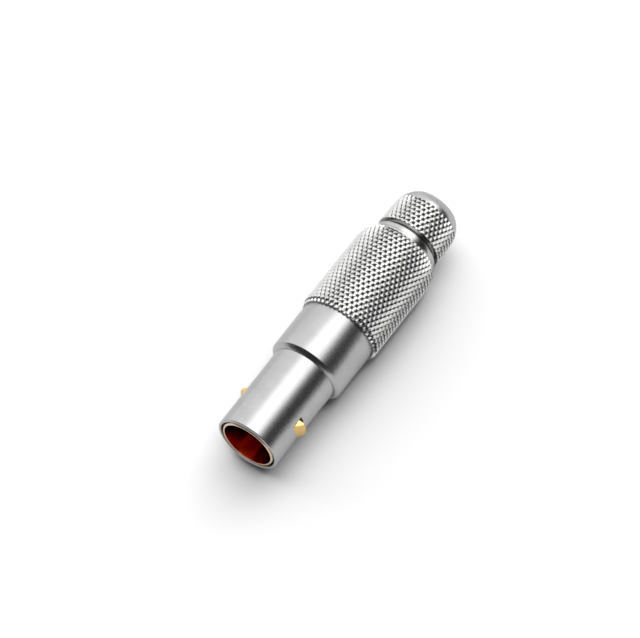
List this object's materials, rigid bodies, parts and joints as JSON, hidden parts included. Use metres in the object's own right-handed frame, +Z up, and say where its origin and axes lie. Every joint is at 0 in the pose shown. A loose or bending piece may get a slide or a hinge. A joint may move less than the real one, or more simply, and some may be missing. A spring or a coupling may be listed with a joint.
{
  "type": "triax cable plug",
  "caption": "Push-pull triaxial cable plug: a sliding shell with knurled grip, side latches, gold sleeve and contacts in the mouth, and a knurled collet nut with a cable hole.",
  "frame": {"origin": "on the ground plane, under the middle of the plug's length, with the plug lying on its grip", "axes": "+X from the mouth to the cable end along the plug's axis, +Y towards one latch, +Z up"},
  "size_m": [0.0442, 0.012, 0.012],
  "materials": {
    "satin_chrome": "satin chrome plate",
    "bright_nickel": "bright nickel plate",
    "gold_plate": "gold plate",
    "pale_insulator": "plain moulded",
    "black_rubber": "matt"
  },
  "bodies": {
    "core": {"latch_sleeve": "gold_plate", "inner_body": "bright_nickel", "front_insulator": "pale_insulator", "inner_screen_contact": "gold_plate", "centre_contact": "gold_plate", "pin_insulator_front": "pale_insulator", "pin_insulator_rear": "pale_insulator", "insulator_lock_ring": "bright_nickel", "rear_insulator": "pale_insulator", "screen_crimp_ferrule": "bright_nickel", "earthing_cone": "bright_nickel", "braid_clamp_ring": "bright_nickel", "thrust_washer_front": "bright_nickel", "cable_gasket": "black_rubber", "thrust_washer_rear": "bright_nickel", "split_collet": "bright_nickel"},
    "shell": {"outer_shell": "satin_chrome"},
    "latch_left": {"latch_finger_left": "gold_plate"},
    "latch_right": {"latch_finger_right": "gold_plate"},
    "nut": {"collet_nut": "satin_chrome"}
  },
  "joints": [
    {"name": "shell_slide", "type": "slide", "parent": "core", "child": "shell", "axis": [1, 0, 0], "range_m": [0, 0.001], "stiffness_N_per_m": 1000},
    {"name": "latch_left_swing", "type": "hinge", "parent": "core", "child": "latch_left", "pos_m": [-0.0111, 0.00356, 0.006], "axis": [0, 0, 1], "range_deg": [0, 9.5]},
    {"name": "latch_right_swing", "type": "hinge", "parent": "core", "child": "latch_right", "pos_m": [-0.0111, -0.00356, 0.006], "axis": [0, 0, -1], "range_deg": [0, 9.5]},
    {"name": "nut_turn", "type": "hinge", "parent": "core", "child": "nut", "pos_m": [0.0179, 0, 0.006], "axis": [1, 0, 0], "continuous": true}
  ],
  "couplings": [
    {"joint": "latch_left_swing", "follows": "shell_slide", "rad_per_m": 165.8},
    {"joint": "latch_right_swing", "follows": "shell_slide", "rad_per_m": 165.8}
  ]
}
